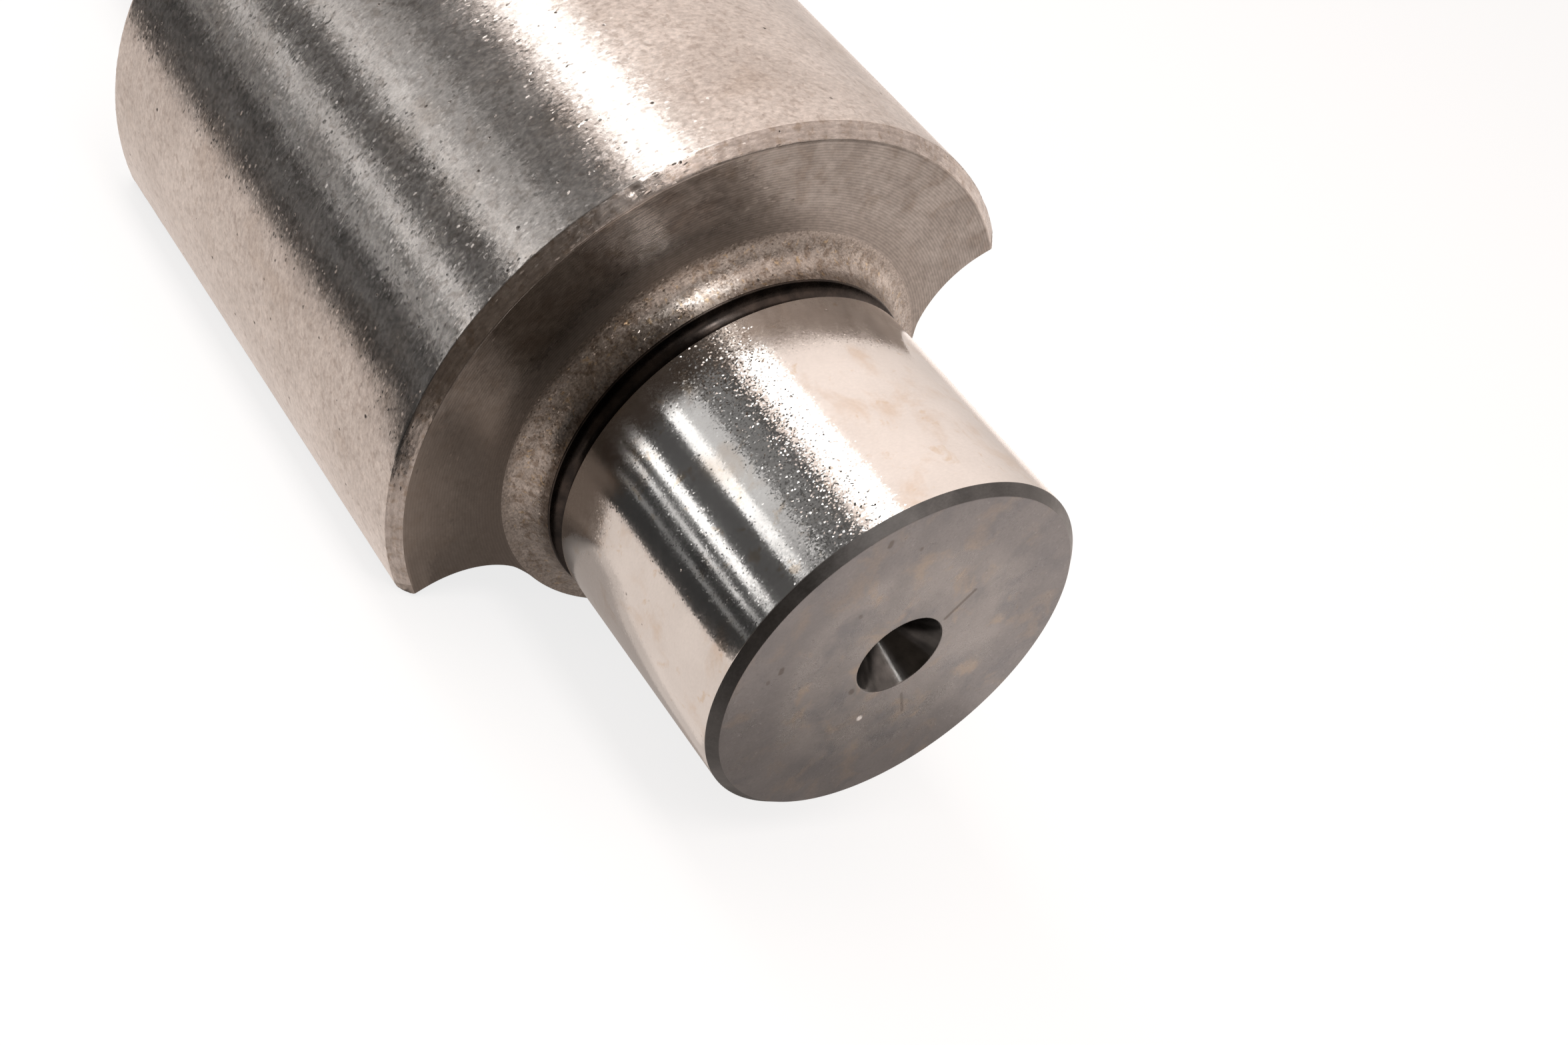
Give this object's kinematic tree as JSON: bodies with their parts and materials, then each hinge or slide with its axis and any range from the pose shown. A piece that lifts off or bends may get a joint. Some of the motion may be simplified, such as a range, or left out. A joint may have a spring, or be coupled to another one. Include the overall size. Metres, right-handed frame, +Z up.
{
  "type": "balancer shaft",
  "caption": "Steel balancer shaft turned from a single forging: a half-round eccentric lobe between ground bearing journals, with a plain seat for the driving gear.",
  "frame": {"origin": "on the shaft's axis, at the middle of the front journal", "axes": "+X along the shaft towards the gear seat, +Z up as the shaft lies at rest on one tip of its lobe and on its round core, so that the lobe leans towards +Y"},
  "size_m": [0.1583, 0.0582, 0.0582],
  "materials": {
    "steel": "bare steel: ground bright on the journals, satin on the lobe, turned on the faces"
  },
  "bodies": {
    "root": {"balancer_shaft": "steel"}
  },
  "joints": []
}
